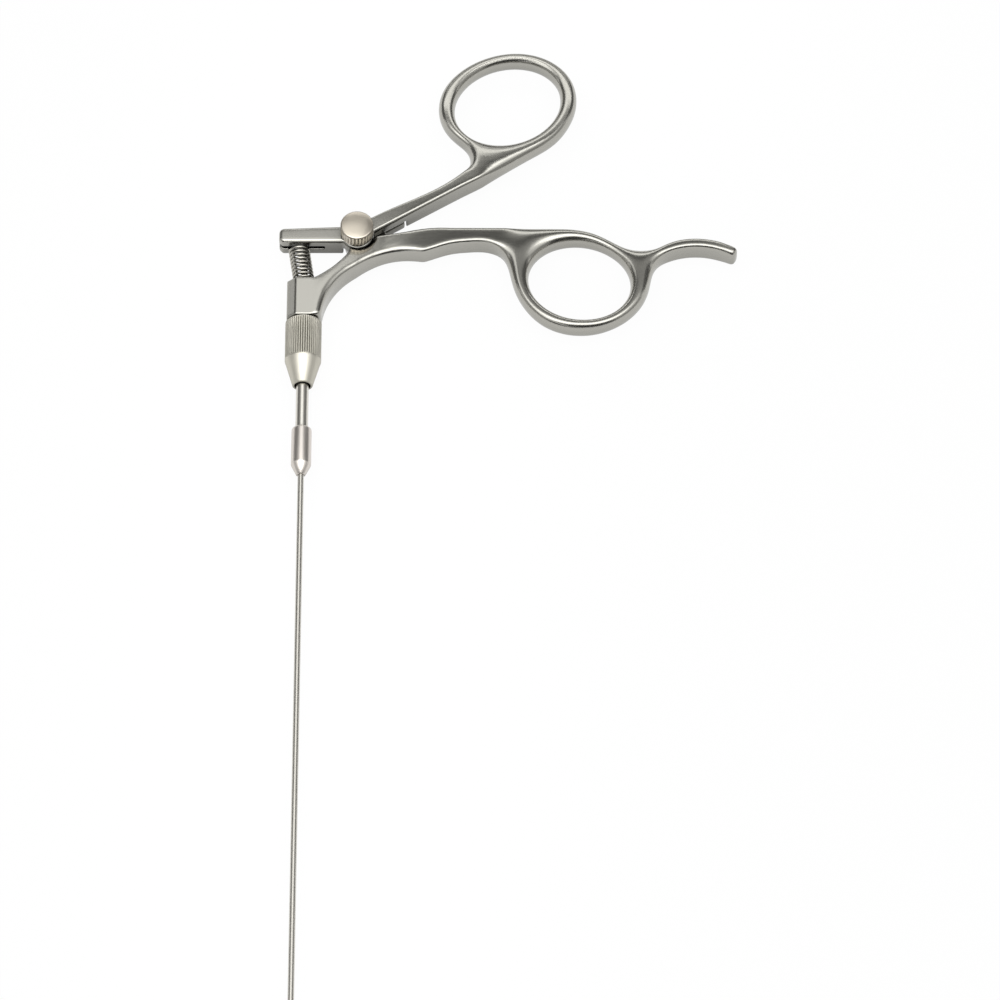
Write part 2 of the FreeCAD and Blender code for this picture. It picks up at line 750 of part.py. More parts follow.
def make_link(side_name, side):
    """Link from the rod pin to a jaw's tail pin, with that pin fixed in it."""
    name = "link_" + side_name
    rod_pin = (0, size("rod_pin"))
    tail_pin = (side * size("tail_across"), size("tail_along"))
    spot = ("%d * tail_across" % side, "tail_along")
    low, high = ("link_low", "link_high") if side > 0 else ("0 - link_high", "0 - link_low")
    plain = bar(name + "_plain", rod_pin, tail_pin, ["ear_radius"] * 2, low, high)
    holes = joined(name + "_holes", [
        disc(name + "_rod_hole", ("0", "rod_pin"), "pin_radius + pin_clearance", "-1", "1"),
        disc(name + "_tail_hole", spot, "pin_radius", "-1", "1")])
    kept(name, cut_away(name, plain, holes))
    pin = "tail_pin_" + side_name
    low, high = ("tail_low", "link_high") if side > 0 else ("0 - link_high", "0 - tail_low")
    kept(pin, disc(pin, spot, "pin_radius", low, high))


def make_fork():
    """Slotted fork at the shaft's end and the pin that the jaws turn on."""
    cheeks = rod("fork_cheeks", "y", "tip_radius",
                 "fork_length - fork_neck_length + fork_end_radius",
                 ("0", "jaw_pivot - fork_end_radius", "0"))
    neck = rod("fork_neck", "y", "fork_neck_radius", "fork_neck_length + 1",
               ("0", "fork_top - fork_neck_length - 1", "0"))
    stock = joined("fork_stock", [cheeks, neck])
    slot = block("fork_slot_cut", ("-2", "jaw_pivot - 2", "0 - fork_slot / 2"),
                 ("2", "jaw_pivot + fork_slot_length", "fork_slot / 2"))
    bore = rod("fork_bore", "y", "wire_radius + running", "fork_length + 1",
               ("0", "jaw_pivot", "0"))
    beyond = block("fork_end_block", ("-2", "jaw_pivot - 2", "-2"), ("2", "jaw_pivot", "2"))
    pivot = ("0", "jaw_pivot")
    end = cut_away("fork_end", beyond, disc("fork_end_disc", pivot, "tip_radius", "-3", "3"))
    hole = disc("fork_pin_hole", pivot, "fork_pin_radius", "-2", "2")
    kept("tip_fork", cut_away("tip_fork", stock, joined("fork_tools", [slot, bore, hole, end])))
    kept("fork_pin", disc("fork_pin", pivot, "fork_pin_radius",
                          "fork_pin_inset - tip_radius", "tip_radius - fork_pin_inset"))


def make_tongue():
    """Flat tongue on the pull wire and the pin that both links turn on."""
    rod_pin = (0, size("rod_pin"))
    top = (0, size("rod_pin") + size("tongue_length"))
    tongue = bar("tongue_bar", rod_pin, top, ["ear_radius"] * 2, "0 - tail_high", "tail_high")
    collar = rod("tongue_collar", "y", "wire_radius", "tongue_collar",
                 ("0", "tongue_top - tongue_collar", "0"))
    spot = ("0", "rod_pin")
    hole = disc("tongue_hole", spot, "pin_radius", "-1", "1")
    kept("drive_tongue", cut_away("drive_tongue", joined("tongue_whole", [tongue, collar]), hole))
    kept("rod_link_pin", disc("rod_link_pin", spot, "pin_radius", "0 - link_high", "link_high"))


def write_parts():
    """Checks every object, then writes one file for each sub-part."""
    doc.recompute()
    for piece in doc.Objects:
        if "Invalid" in piece.State or "Error" in piece.State:
            raise RuntimeError("%s is in error" % piece.Name)
    for piece in nodes:
        if piece.Shape.isNull() or not piece.Shape.isValid():
            raise RuntimeError("%s has no valid shape" % piece.Label)
    os.makedirs("parts", exist_ok=True)
    for piece in nodes:
        piece.Shape.exportStep("parts/" + piece.Label + ".step")


fill_sheets()
make_ferrule()
make_stem()
make_nut()
make_shaft()
make_fixed_handle()
make_thumb_handle()
make_bush()
make_screw()
make_spring()
make_drive()
make_fork()
make_tongue()
make_jaw("jaw_left", -size("jaw_open_angle"), 0)
make_jaw("jaw_right", size("jaw_open_angle"), 180)
make_link("left", 1)
make_link("right", -1)
write_parts()
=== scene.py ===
import bpy
import bmesh
import json
import math
from mathutils import Matrix, Vector


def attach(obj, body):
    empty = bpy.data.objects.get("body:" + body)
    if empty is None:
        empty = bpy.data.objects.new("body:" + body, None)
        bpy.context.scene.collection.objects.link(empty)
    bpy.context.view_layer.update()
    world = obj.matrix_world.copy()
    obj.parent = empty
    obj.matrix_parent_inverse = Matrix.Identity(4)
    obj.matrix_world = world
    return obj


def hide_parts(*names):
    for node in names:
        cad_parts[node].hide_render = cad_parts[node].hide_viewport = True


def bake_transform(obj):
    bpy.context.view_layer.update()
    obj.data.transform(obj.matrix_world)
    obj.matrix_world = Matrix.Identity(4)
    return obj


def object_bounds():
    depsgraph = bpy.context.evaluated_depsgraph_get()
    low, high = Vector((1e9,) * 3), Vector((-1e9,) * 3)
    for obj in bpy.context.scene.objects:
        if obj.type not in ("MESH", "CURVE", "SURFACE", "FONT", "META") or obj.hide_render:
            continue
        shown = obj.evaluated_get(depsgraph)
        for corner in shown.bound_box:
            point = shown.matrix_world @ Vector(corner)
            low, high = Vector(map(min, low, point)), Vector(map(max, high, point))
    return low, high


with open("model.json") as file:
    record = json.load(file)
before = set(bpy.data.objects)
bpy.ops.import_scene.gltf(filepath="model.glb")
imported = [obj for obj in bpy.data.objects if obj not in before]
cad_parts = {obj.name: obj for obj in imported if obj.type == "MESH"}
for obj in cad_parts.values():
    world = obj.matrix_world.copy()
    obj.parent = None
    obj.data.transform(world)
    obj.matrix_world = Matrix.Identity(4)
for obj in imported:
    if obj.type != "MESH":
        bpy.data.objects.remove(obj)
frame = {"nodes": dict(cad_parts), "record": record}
cad_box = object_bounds()

MM = 0.001
SEAM = 0.000002
VOXEL = 0.25
SMOOTHING_PASSES = 900
FERRULE_LENGTH, STEM_EXPOSED, NUT_LENGTH = 14.4, 13.3, 20.1
STEM_RADIUS = 1.7
PIVOT = Vector((14.2, 73.8, 0.0))
FINGER_RING = Vector((74.4, 60.0, 0.0))
THUMB_RING = Vector((55.0, 117.2, 0.0))
HEEL_CENTRE = Vector((21.8, 78.29, -1.675))
HEEL_SIZE = Vector((10.85, 3.0, 3.25))
SHANK_SLOPE = 31.5
PAPER_SHOWN = 0.96


# Node helpers

def node(tree, kind, spot, **values):
    made = tree.nodes.new(kind)
    made.location = spot
    for name, value in values.items():
        setattr(made, name, value)
    return made


def fill(made, **values):
    for name, value in values.items():
        made.inputs[name.replace("_", " ")].default_value = value
    return made


# Shared effects: steel grain, edge wear and painted shade

def steel_grain():
    """Fine brushed grain, faint cloudiness and tiny nicks of satin steel."""
    group = bpy.data.node_groups.new("steel_grain", "ShaderNodeTree")
    face = group.interface
    for name, kind, value in (("Lines", "NodeSocketFloat", 2600.0), ("Across", "NodeSocketFloat", 160.0),
                              ("Turn", "NodeSocketFloat", 0.0)):
        socket = face.new_socket(name, in_out="INPUT", socket_type=kind)
        socket.default_value = value
    for name in ("Grain", "Cloud", "Nicks"):
        face.new_socket(name, in_out="OUTPUT", socket_type="NodeSocketFloat")
    entry = node(group, "NodeGroupInput", (-900, 0))
    leave = node(group, "NodeGroupOutput", (500, 0))
    place = node(group, "ShaderNodeTexCoord", (-900, 300))
    turned = node(group, "ShaderNodeVectorRotate", (-700, 200), rotation_type="Z_AXIS")
    group.links.new(place.outputs["Object"], turned.inputs["Vector"])
    group.links.new(entry.outputs["Turn"], turned.inputs["Angle"])
    scale = node(group, "ShaderNodeCombineXYZ", (-700, -50))
    group.links.new(entry.outputs["Across"], scale.inputs["X"])
    group.links.new(entry.outputs["Lines"], scale.inputs["Y"])
    group.links.new(entry.outputs["Lines"], scale.inputs["Z"])
    stretched = node(group, "ShaderNodeVectorMath", (-500, 150), operation="MULTIPLY")
    group.links.new(turned.outputs["Vector"], stretched.inputs[0])
    group.links.new(scale.outputs["Vector"], stretched.inputs[1])
    grain = fill(node(group, "ShaderNodeTexNoise", (-300, 200)), Scale=1.0, Detail=3.0, Roughness=0.6)
    group.links.new(stretched.outputs["Vector"], grain.inputs["Vector"])
    cloud = fill(node(group, "ShaderNodeTexNoise", (-300, -50)), Scale=90.0, Detail=4.0, Roughness=0.55)
    group.links.new(place.outputs["Object"], cloud.inputs["Vector"])
    nicks = fill(node(group, "ShaderNodeTexVoronoi", (-300, -300)), Scale=420.0)
    group.links.new(place.outputs["Object"], nicks.inputs["Vector"])
    spots = node(group, "ShaderNodeMapRange", (0, -300))
    spots.inputs["From Min"].default_value = 0.04
    spots.inputs["From Max"].default_value = 0.10
    spots.inputs["To Min"].default_value = 1.0
    spots.inputs["To Max"].default_value = 0.0
    group.links.new(nicks.outputs["Distance"], spots.inputs["Value"])
    group.links.new(grain.outputs["Fac"], leave.inputs["Grain"])
    group.links.new(cloud.outputs["Fac"], leave.inputs["Cloud"])
    group.links.new(spots.outputs["Result"], leave.inputs["Nicks"])
    return group


def edge_wear_and_painted_shade():
    """Corner is 1 on outer edges that handling has polished, less elsewhere; the crevice output is painted
    shade, 1 in crevices, between parts and near the floor, where it darkens the colour as shade would.
    """
    group = bpy.data.node_groups.new("edge_wear_and_painted_shade", "ShaderNodeTree")
    for name, value in (("Width", 0.0008), ("Reach", 0.002)):
        socket = group.interface.new_socket(name, in_out="INPUT", socket_type="NodeSocketFloat")
        socket.default_value = value
    group.interface.new_socket("Corner", in_out="OUTPUT", socket_type="NodeSocketFloat")
    group.interface.new_socket("Painted Shade", in_out="OUTPUT", socket_type="NodeSocketFloat")
    entry = node(group, "NodeGroupInput", (-600, 0))
    leave = node(group, "NodeGroupOutput", (500, 0))
    inside = node(group, "ShaderNodeAmbientOcclusion", (-300, 150), samples=4, inside=True, only_local=True)
    # Occlusion by any part or the floor within the reach, turned into painted shade below
    outside = node(group, "ShaderNodeAmbientOcclusion", (-300, -150), samples=6, only_local=False)
    group.links.new(entry.outputs["Width"], inside.inputs["Distance"])
    group.links.new(entry.outputs["Reach"], outside.inputs["Distance"])
    corner = node(group, "ShaderNodeMapRange", (0, 150))
    corner.inputs["From Min"].default_value = 0.55
    corner.inputs["From Max"].default_value = 0.95
    corner.inputs["To Min"].default_value = 0.0
    corner.inputs["To Max"].default_value = 1.0
    group.links.new(inside.outputs["AO"], corner.inputs["Value"])
    # Painted shade: 1 where the surface is hemmed in by parts or the floor, 0 where it is open
    painted_shade = node(group, "ShaderNodeMapRange", (0, -150))
    painted_shade.inputs["From Min"].default_value = 0.12
    painted_shade.inputs["From Max"].default_value = 0.88
    painted_shade.inputs["To Min"].default_value = 1.0
    painted_shade.inputs["To Max"].default_value = 0.0
    group.links.new(outside.outputs["AO"], painted_shade.inputs["Value"])
    group.links.new(corner.outputs["Result"], leave.inputs["Corner"])
    group.links.new(painted_shade.outputs["Result"], leave.inputs["Painted Shade"])
    return group


GRAIN = steel_grain()
EDGE_WEAR_AND_SHADE = edge_wear_and_painted_shade()


def steel(name, colour, shade=0.86, rough=0.3, spread=0.08, lines=2600.0, across=160.0, turn=0.0,
          bump=0.15, edge_width=0.0008, reach=0.002, deep_shade=0.45):
    """Satin or polished steel: brushed grain, cloudy sheen, bright worn edges, and painted shade that
    darkens crevices, gaps between parts and faces near the floor.
    """
    made = bpy.data.materials.new(name)
    made.use_nodes = True
    tree = made.node_tree
    shader = tree.nodes["Principled BSDF"]
    shader.inputs["Metallic"].default_value = 1.0
    effect = node(tree, "ShaderNodeGroup", (-900, 0), node_tree=GRAIN)
    fill(effect, Lines=lines, Across=across, Turn=turn)
    edge = node(tree, "ShaderNodeGroup", (-900, -300), node_tree=EDGE_WEAR_AND_SHADE)
    fill(edge, Width=edge_width, Reach=reach)
    mixed = node(tree, "ShaderNodeMix", (-600, 200), data_type="RGBA")
    dark = tuple(c * shade for c in colour) + (1.0,)
    mixed.inputs[6].default_value = dark
    mixed.inputs[7].default_value = tuple(colour) + (1.0,)
    tree.links.new(effect.outputs["Cloud"], mixed.inputs[0])
    worn = node(tree, "ShaderNodeMix", (-400, 200), data_type="RGBA")
    tree.links.new(mixed.outputs[2], worn.inputs[6])
    worn.inputs[7].default_value = tuple(min(1.0, c * 1.12) for c in colour) + (1.0,)
    tree.links.new(edge.outputs["Corner"], worn.inputs[0])
    # Painted shade: the colour falls to deep_shade of itself where other parts or the floor hem the surface
    # in
    deep = node(tree, "ShaderNodeMix", (-200, 200), data_type="RGBA")
    tree.links.new(worn.outputs[2], deep.inputs[6])
    deep.inputs[7].default_value = tuple(c * deep_shade for c in colour) + (1.0,)
    tree.links.new(edge.outputs["Painted Shade"], deep.inputs[0])
    tree.links.new(deep.outputs[2], shader.inputs["Base Color"])
    finish = node(tree, "ShaderNodeMapRange", (-400, -50))
    finish.inputs["To Min"].default_value = rough - spread / 2
    finish.inputs["To Max"].default_value = rough + spread / 2
    tree.links.new(effect.outputs["Grain"], finish.inputs["Value"])
    polished = node(tree, "ShaderNodeMath", (-200, -50), operation="MULTIPLY_ADD")
    polished.inputs[1].default_value = -0.06
    tree.links.new(edge.outputs["Corner"], polished.inputs[0])
    tree.links.new(finish.outputs["Result"], polished.inputs[2])
    tree.links.new(polished.outputs["Value"], shader.inputs["Roughness"])
    height = node(tree, "ShaderNodeMath", (-400, -350), operation="SUBTRACT")
    tree.links.new(effect.outputs["Grain"], height.inputs[0])
    tree.links.new(effect.outputs["Nicks"], height.inputs[1])
    raised = node(tree, "ShaderNodeBump", (-200, -350))
    raised.inputs["Strength"].default_value = bump
    raised.inputs["Distance"].default_value = 0.00003
    tree.links.new(height.outputs["Value"], raised.inputs["Height"])
    tree.links.new(raised.outputs["Normal"], shader.inputs["Normal"])
    return made


# deep_shade below is how dark each steel's painted shade goes in crevices, between parts and near the floor
SATIN = steel("satin_handle_steel", (0.395, 0.387, 0.353), rough=0.29, spread=0.12, bump=0.2, reach=0.02,
              deep_shade=0.25)
NUT = steel("knurled_nut_steel", (0.57, 0.55, 0.48), rough=0.52, edge_width=0.0002, reach=0.02,
            deep_shade=0.1)
TUBE = steel("drawn_tube_steel", (0.67, 0.65, 0.595), rough=0.34, spread=0.06, lines=3000.0, across=60.0,
             turn=math.pi / 2, bump=0.06, edge_width=0.0003, reach=0.02, deep_shade=0.1)
FERRULE = steel("ferrule_steel", (0.66, 0.62, 0.575), rough=0.4, spread=0.06, lines=3000.0, across=60.0,
                bump=0.08, edge_width=0.0003, reach=0.02, deep_shade=0.1)
SCREW = steel("pivot_screw_steel", (0.53, 0.485, 0.41), rough=0.36, edge_width=0.0003, reach=0.004,
              deep_shade=0.3)
SPRING = steel("spring_steel", (0.40, 0.385, 0.345), rough=0.22, edge_width=0.0002, reach=0.003,
               deep_shade=0.06)
# Pull rod steel made darker than the tubes as painted shade for the rod seen between the spring's coils
SHADED_PULL_ROD = steel("pull_rod_steel_painted_dark", (0.40, 0.385, 0.35), rough=0.3, edge_width=0.0002, reach=0.003,
                 deep_shade=0.05)
JAW = steel("jaw_steel", (0.44, 0.425, 0.4), rough=0.3, lines=9000.0, across=900.0, edge_width=0.00008,
            reach=0.0004)

LOOKS = {
    "fixed_handle": SATIN, "thumb_handle": SATIN, "coupling_nut": NUT, "ferrule": FERRULE,
    "stem_tube": TUBE, "shaft_tube": TUBE, "pivot_screw": SCREW, "pivot_bush": SCREW,
    "return_spring": SPRING, "drive_ball_end": SHADED_PULL_ROD, "drive_wire": TUBE, "drive_tongue": JAW,
    "rod_link_pin": JAW, "tail_pin_left": JAW, "tail_pin_right": JAW, "fork_pin": JAW,
    "tip_fork": JAW, "jaw_left": JAW, "jaw_right": JAW, "link_left": JAW, "link_right": JAW,
}
BODY = {name: body for body, names in frame["record"]["behaviour"]["bodies"].items() for name in names}


# Pieces worked up from the solids

def worked_copy(name):
    """A copy of a node's form with its seams merged, selected and ready to work on."""
    bpy.ops.object.select_all(action="DESELECT")
    made = bpy.data.objects.new(name + "_finished", frame["nodes"][name].data.copy())
    bpy.context.scene.collection.objects.link(made)
    bpy.context.view_layer.objects.active = made
    made.select_set(True)
    bpy.ops.object.mode_set(mode="EDIT")
    bpy.ops.mesh.select_all(action="SELECT")
    bpy.ops.mesh.remove_doubles(threshold=SEAM)
    bpy.ops.object.mode_set(mode="OBJECT")
    return made


def applied(made, kind, **values):
    modifier = made.modifiers.new(kind.lower(), kind)
    for name, value in values.items():
        setattr(modifier, name, value)
    bpy.ops.object.modifier_apply(modifier=modifier.name)


def fitted(made, name, moves=True):
    """Gives a finished piece its steel and puts it in its node's place."""
    made.data.materials.clear()
    made.data.materials.append(LOOKS[name])
    if moves:
        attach(made, BODY[name])
    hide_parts(name)
    return made


def share(value, low, high):
    """0 at low, 1 at high and smooth between them."""
    part = min(1.0, max(0.0, (value - low) / (high - low)))
    return part * part * (3.0 - 2.0 * part)


def lap_heel(made):
    """Heel of the fixed handle's lap, which fills the room under the thumb handle's shank."""
    bpy.ops.object.select_all(action="DESELECT")
    bpy.ops.mesh.primitive_cube_add(size=1.0, location=HEEL_CENTRE * MM,
                                    rotation=(0.0, 0.0, math.radians(SHANK_SLOPE)))
    heel = bpy.context.object
    heel.scale = HEEL_SIZE * MM
    bpy.ops.object.transform_apply(location=True, rotation=True, scale=True)
    made.select_set(True)
    bpy.context.view_layer.objects.active = made
    bpy.ops.object.join()


def polished_by_hand(name, roundness, growth):
    """Handle plate with its edges rounded over, as much as `roundness` says at each place."""
    made = worked_copy(name)
    if name == "fixed_handle":
        lap_heel(made)
    applied(made, "REMESH", mode="VOXEL", voxel_size=VOXEL * MM)
    group = made.vertex_groups.new(name="roundness")
    for vertex in made.data.vertices:
        group.add([vertex.index], roundness(vertex.co / MM), "REPLACE")
    applied(made, "SMOOTH", factor=0.5, iterations=SMOOTHING_PASSES, vertex_group="roundness")
    applied(made, "DISPLACE", strength=growth * MM, mid_level=0.0, vertex_group="roundness")
    bpy.ops.object.shade_smooth()
    return fitted(made, name)


def fixed_roundness(place):
    """Crisp barrel, softer neck and grip, and a fully rounded finger ring."""
    ring = math.hypot(place.x - FINGER_RING.x, place.y - FINGER_RING.y)
    below = share(place.y - 59.6 - 0.62 * (place.x - 5.0), 1.5, -2.5) * share(place.x, 2.0, 5.0)
    grip = 0.005 + 0.055 * share(place.x, 10.0, 26.0) + 0.2 * below * share(place.x, 34.0, 22.0)
    spur_end = 0.2 * share(place.x, 111.0, 116.0)
    return max(spur_end, grip + (0.9 - grip) * share(ring, 26.0, 18.0))


def thumb_roundness(place):
    """Crisp crank and boss, softer shank, and a fully rounded thumb ring."""
    ring = math.hypot(place.x - THUMB_RING.x, place.y - THUMB_RING.y)
    shank = 0.008 + 0.03 * share(place.y, 80.0, 90.0)
    return shank + (0.9 - shank) * share(ring, 26.0, 19.0)


def trued(name, edge, angle=30.0, segments=2):
    """Turned or milled piece with its hard edges just broken."""
    made = worked_copy(name)
    if edge:
        applied(made, "BEVEL", width=edge * MM, segments=segments, limit_method="ANGLE",
                angle_limit=math.radians(angle), use_clamp_overlap=True)
    bpy.ops.object.shade_smooth_by_angle(angle=math.radians(angle))
    return fitted(made, name)


def turned(name, profile, segments=72):
    """Round piece drawn up ring by ring along the shaft, from pairs of radius and height in mm."""
    bpy.ops.object.select_all(action="DESELECT")
    radius, height = profile[0]
    bpy.ops.mesh.primitive_circle_add(vertices=segments, radius=radius * MM, fill_type="NOTHING",
                                      location=(0.0, height * MM, 0.0),
                                      rotation=(math.radians(90.0), 0.0, 0.0))
    made = bpy.context.object
    made.name = name + "_finished"
    bpy.ops.object.transform_apply(location=True, rotation=True, scale=True)
    bpy.ops.object.mode_set(mode="EDIT")
    bpy.ops.mesh.select_all(action="SELECT")
    for wider, higher in profile[1:]:
        step = (0.0, (higher - height) * MM, 0.0)
        bpy.ops.mesh.extrude_region_move(TRANSFORM_OT_translate={"value": step})
        scale = wider / radius
        bpy.ops.transform.resize(value=(scale, 1.0, scale), center_override=(0.0, 0.0, 0.0))
        radius, height = wider, higher
    bpy.ops.mesh.select_all(action="SELECT")
    bpy.ops.mesh.remove_doubles(threshold=SEAM)
    bpy.ops.mesh.normals_make_consistent(inside=False)
    bpy.ops.object.mode_set(mode="OBJECT")
    return made


def knurled(made, low, high, radius, count, depth):
    """Presses straight grooves into a turned piece between two heights."""
    for vertex in made.data.vertices:
        across = math.hypot(vertex.co.x, vertex.co.z) / MM
        if low <= vertex.co.y / MM <= high and across > radius - 0.01:
            turn = math.atan2(vertex.co.z, vertex.co.x) * count / math.tau
            ridge = abs(2.0 * (turn % 1.0) - 1.0)
            scale = 1.0 - depth * max(0.0, 1.0 - ridge / 0.5) / across
            vertex.co.x *= scale
            vertex.co.z *= scale
    return made


def finished(made, name, angle=38.0):
    bpy.ops.object.select_all(action="DESELECT")
    bpy.context.view_layer.objects.active = made
    made.select_set(True)
    bpy.ops.object.shade_smooth_by_angle(angle=math.radians(angle))
    return fitted(made, name)


def rounded_shoulder(radius, height, size, steps=5):
    """Quarter round from the side of a turned piece, at the radius, to its end, at the height."""
    turns = [k * math.pi / 2.0 / steps for k in range(steps + 1)]
    return [(radius - size * (1.0 - math.cos(turn)), height - size * (1.0 - math.sin(turn)))
            for turn in turns]


def shaft_line():
    """Ferrule, stem, shaft tube, coupling nut and pull rod, all turned about the shaft's axis."""
    low, high = FERRULE_LENGTH + STEM_EXPOSED, FERRULE_LENGTH + STEM_EXPOSED + NUT_LENGTH - 0.1
    finished(turned("ferrule", [(0.68, 0.0), (1.12, 0.0), (1.3, 0.14), (2.5, 2.65), (2.66, 3.05), (2.7, 3.4)]
                    + rounded_shoulder(2.7, FERRULE_LENGTH, 0.9)
                    + [(STEM_RADIUS, FERRULE_LENGTH), (STEM_RADIUS, 9.0), (0.68, 9.0),
                       (0.68, 0.0)]), "ferrule")
    finished(turned("stem_tube", [(0.9, 9.0), (STEM_RADIUS, 9.0), (STEM_RADIUS, low + 5.5), (3.2, low + 5.5),
                                  (3.2, low + 6.7), (1.54, low + 6.7), (1.54, low + 11.7),
                                  (0.9, low + 11.7), (0.9, 9.0)]), "stem_tube")
    finished(turned("shaft_tube", [(0.585, 9.0), (0.68, 9.0), (0.68, 0.0), (0.835, 0.0), (0.835, -346.0),
                                   (0.585, -346.0), (0.585, 9.0)], segments=48), "shaft_tube")
    knurl_low, knurl_high = low + 7.75, high - 0.6
    grip = [knurl_low - 0.02, knurl_low + 0.25, low + 12.0, low + 16.0, knurl_high - 0.25,
            knurl_high + 0.02]
    nut = turned("coupling_nut", [(2.2, low), (2.62, low), (2.75, low + 0.12), (4.62, low + 6.75),
                                  (4.84, low + 7.3), (4.9, low + 7.6)]
                 + [(4.9, height) for height in grip]
                 + [(4.9, high - 0.55), (4.3, high - 0.15), (4.2, high - 0.15), (3.4, high - 0.15),
                    (3.4, low + 5.45), (1.6, low + 5.45), (1.6, low + 2.5), (2.2, low + 2.5),
                    (2.2, low)], segments=276)
    finished(knurled(nut, knurl_low, knurl_high, 4.9, 46, 0.26), "coupling_nut", angle=50.0)
    ball = 59.6 + 11.8 + 2.25
    bulb = [(1.15 * math.sin(turn), ball - 1.15 * math.cos(turn))
            for turn in (math.pi * (0.16 + 0.83 * k / 14.0) for k in range(15))]
    finished(turned("drive_ball_end", [(0.0005, 55.8), (0.4, 55.8), (0.4, 48.8), (0.8, 48.8), (0.9, 49.0),
                                       (0.9, 66.5), (0.55, 67.2)] + bulb + [(0.0005, ball + 1.149)],
                    segments=40), "drive_ball_end")


def pivot_knob():
    """Pivot screw with a domed, knurled head, turned upright and then laid over at the pivot."""
    under, face = 3.4, 8.3
    side = [under + 0.95, under + 1.15, under + 2.6, face - 0.75, face - 0.6]
    knob = turned("pivot_screw", [(0.0005, -3.0), (1.2, -3.0), (1.5, -2.7), (1.5, under), (3.75, under),
                                  (3.75, under + 0.6), (4.35, under + 0.7), (4.45, under + 0.8)]
                  + [(4.45, height) for height in side]
                  + rounded_shoulder(4.45, face - 0.32, 0.45)
                  + [(3.4, face - 0.19), (2.6, face - 0.105), (1.6, face - 0.04), (0.7, face - 0.008),
                     (0.0005, face)], segments=168)
    knurled(knob, under + 1.1, face - 0.7, 4.45, 28, 0.22)
    knob.data.transform(Matrix.Translation(PIVOT * MM)
                        @ Matrix.Rotation(math.radians(90.0), 4, "X"))
    finished(knob, "pivot_screw", angle=50.0)


def coil():
    """Return spring, a smoothed copy of its node left where it stands; it does not stretch as the crank
    lifts.
    """
    made = worked_copy("return_spring")
    bpy.ops.object.shade_smooth_by_angle(angle=math.radians(40.0))
    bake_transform(made)
    fitted(made, "return_spring", moves=False)


for name, look in LOOKS.items():
    mesh = frame["nodes"][name].data
    mesh.materials.clear()
    mesh.materials.append(look)

polished_by_hand("fixed_handle", fixed_roundness, 0.75)
polished_by_hand("thumb_handle", thumb_roundness, 0.55)
shaft_line()
pivot_knob()
for name, edge in (("pivot_bush", 0.05), ("drive_wire", 0.0), ("tip_fork", 0.02), ("fork_pin", 0.01),
                   ("drive_tongue", 0.01), ("rod_link_pin", 0.01), ("tail_pin_left", 0.01),
                   ("tail_pin_right", 0.01), ("link_left", 0.015), ("link_right", 0.015),
                   ("jaw_left", 0.02), ("jaw_right", 0.02)):
    trued(name, edge)
coil()


# Studio

def emitting(name, colour, strength):
    made = bpy.data.materials.new(name)
    made.use_nodes = True
    tree = made.node_tree
    tree.nodes.clear()
    light = node(tree, "ShaderNodeEmission", (0, 0))
    light.inputs["Color"].default_value = tuple(colour) + (1.0,)
    light.inputs["Strength"].default_value = strength
    leave = node(tree, "ShaderNodeOutputMaterial", (200, 0))
    tree.links.new(light.outputs["Emission"], leave.inputs["Surface"])
    return made


def card(name, size, centre, target, level):
    """Flat card of the studio that shows in the metal and casts no shadow."""
    bpy.ops.object.select_all(action="DESELECT")
    bpy.ops.mesh.primitive_plane_add(size=1.0)
    made = bpy.context.object
    made.name = name
    away = Vector(target) - Vector(centre)
    made.matrix_world = (Matrix.Translation(Vector(centre))
                         @ away.to_track_quat("-Z", "Y").to_matrix().to_4x4()
                         @ Matrix.Diagonal((size[0], size[1], 1.0, 1.0)))
    made.data.materials.append(emitting(name, (level, level, level * 0.99), 1.0))
    made.visible_camera = False
    made.visible_diffuse = False
    made.visible_shadow = False
    made.visible_transmission = False
    return made


def lamp(name, size, centre, target, power):
    data = bpy.data.lights.new(name, "AREA")
    data.shape = "RECTANGLE"
    data.size, data.size_y = size
    data.energy = power
    made = bpy.data.objects.new(name, data)
    bpy.context.scene.collection.objects.link(made)
    away = Vector(target) - Vector(centre)
    made.location = centre
    made.rotation_mode = "QUATERNION"
    made.rotation_quaternion = away.to_track_quat("-Z", "Y")
    made.visible_camera = False
    return made


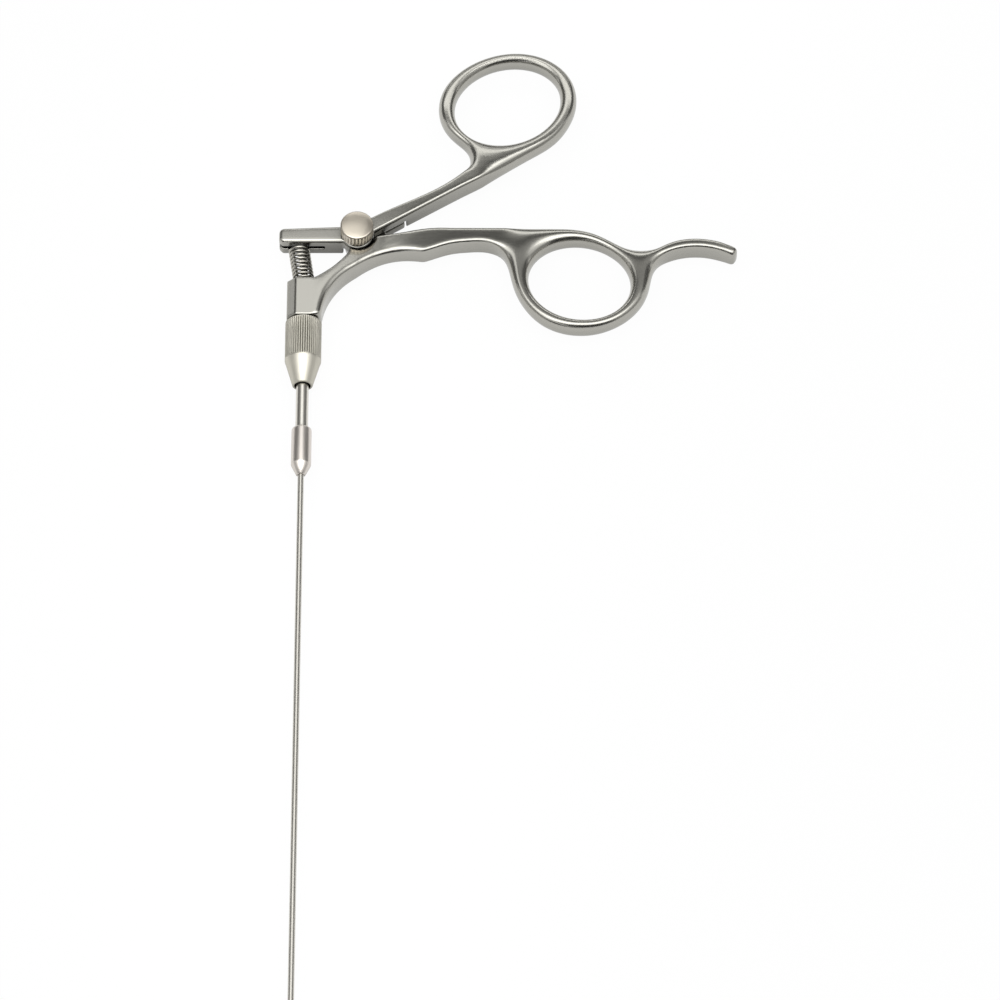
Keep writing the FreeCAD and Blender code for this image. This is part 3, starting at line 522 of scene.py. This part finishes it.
def studio():
    """Pale floor, white surround, soft lamps and grey cards; two lamps and a card hang close above."""
    bpy.ops.object.select_all(action="DESELECT")
    bpy.ops.mesh.primitive_plane_add(size=12.0, location=(0.0, 0.0, cad_box[0].z - 0.002))
    floor = bpy.context.object
    floor.name = "floor"
    paper = bpy.data.materials.new("floor_paper")
    paper.use_nodes = True
    tree = paper.node_tree
    matt = tree.nodes["Principled BSDF"]
    matt.inputs["Base Color"].default_value = (0.9, 0.9, 0.9, 1.0)
    matt.inputs["Roughness"].default_value = 0.9
    glow = node(tree, "ShaderNodeEmission", (0, -300))
    glow.inputs["Strength"].default_value = 1.0
    seen = node(tree, "ShaderNodeLightPath", (-600, 300))
    either = node(tree, "ShaderNodeMath", (-400, 300), operation="MAXIMUM")
    any_ray = node(tree, "ShaderNodeMath", (-200, 300), operation="MAXIMUM")
    tree.links.new(seen.outputs["Is Camera Ray"], either.inputs[0])
    tree.links.new(seen.outputs["Is Glossy Ray"], either.inputs[1])
    tree.links.new(either.outputs["Value"], any_ray.inputs[0])
    tree.links.new(seen.outputs["Is Transmission Ray"], any_ray.inputs[1])
    shown = node(tree, "ShaderNodeMath", (0, 300), operation="MULTIPLY")
    shown.inputs[1].default_value = PAPER_SHOWN
    tree.links.new(any_ray.outputs["Value"], shown.inputs[0])
    mixed = node(tree, "ShaderNodeMixShader", (200, 0))
    tree.links.new(shown.outputs["Value"], mixed.inputs["Fac"])
    tree.links.new(matt.outputs["BSDF"], mixed.inputs[1])
    tree.links.new(glow.outputs["Emission"], mixed.inputs[2])
    tree.links.new(mixed.outputs["Shader"], tree.nodes["Material Output"].inputs["Surface"])
    floor.data.materials.append(paper)

    world = bpy.data.worlds.new("surround")
    bpy.context.scene.world = world
    world.use_nodes = True
    tree = world.node_tree
    sky = tree.nodes["Background"]
    sky.inputs["Color"].default_value = (1.0, 1.0, 1.0, 1.0)
    seen = node(tree, "ShaderNodeLightPath", (-600, 0))
    either = node(tree, "ShaderNodeMath", (-400, 0), operation="MAXIMUM")
    any_ray = node(tree, "ShaderNodeMath", (-300, 0), operation="MAXIMUM")
    tree.links.new(seen.outputs["Is Camera Ray"], either.inputs[0])
    tree.links.new(seen.outputs["Is Glossy Ray"], either.inputs[1])
    tree.links.new(either.outputs["Value"], any_ray.inputs[0])
    tree.links.new(seen.outputs["Is Transmission Ray"], any_ray.inputs[1])
    level = node(tree, "ShaderNodeMapRange", (-150, 0))
    level.inputs["To Min"].default_value = 0.6
    level.inputs["To Max"].default_value = 1.0
    tree.links.new(any_ray.outputs["Value"], level.inputs["Value"])
    tree.links.new(level.outputs["Result"], sky.inputs["Strength"])

    middle = Vector((0.05, 0.0, 0.0))
    card("grey_back_card", (6.0, 2.2), middle + Vector((0.0, 1.5, 1.9)), middle, 0.36)
    card("dark_front_card", (7.0, 2.3), middle + Vector((0.0, -2.27, 1.07)), middle, 0.05)
    card("dark_left_card", (1.9, 1.7), middle + Vector((-1.75, 1.15, 0.8)), middle, 0.13)
    card("dark_right_card", (1.9, 1.7), middle + Vector((1.75, 1.15, 0.8)), middle, 0.13)
    card("grey_left_card", (2.2, 1.6), middle + Vector((-2.3, -0.9, 0.75)), middle, 0.42)
    card("grey_right_card", (2.2, 1.6), middle + Vector((2.3, -0.9, 0.75)), middle, 0.42)
    card("dark_low_card", (6.0, 0.8), middle + Vector((0.0, 2.7, 0.42)), middle, 0.15)
    lamp("overhead_softbox", (2.6, 1.3), middle + Vector((0.0, -0.45, 1.9)), middle, 20.0)
    lamp("thumb_ring_strip", (0.15, 0.026), (0.058, 0.161, 0.06), (0.058, 0.128, 0.0), 0.018)
    card("dark_grip_flag", (0.085, 0.02), (0.070, 0.1085, 0.060), (0.070, 0.074, 0.0), 0.1)
    lamp("near_strip", (0.044, 0.363), (0.001, -0.0685, 0.065), (0.001, -0.0685, 0.0), 0.048)


def camera():
    """Long lens from the front, 60 degrees above the floor."""
    data = bpy.data.cameras.new("camera")
    data.sensor_width = 36.0
    data.lens = 217.4
    data.clip_start, data.clip_end = 0.05, 20.0
    made = bpy.data.objects.new("camera", data)
    bpy.context.scene.collection.objects.link(made)
    target = Vector((52.92, -7.6, 0.0)) * MM
    up = math.radians(60.0)
    back = Vector((0.0, -math.cos(up), math.sin(up)))
    made.location = target + back * 1.6
    made.rotation_mode = "QUATERNION"
    made.rotation_quaternion = (-back).to_track_quat("-Z", "Y")
    bpy.context.scene.camera = made


camera()
studio()
bpy.context.scene.view_settings.view_transform = "Standard"
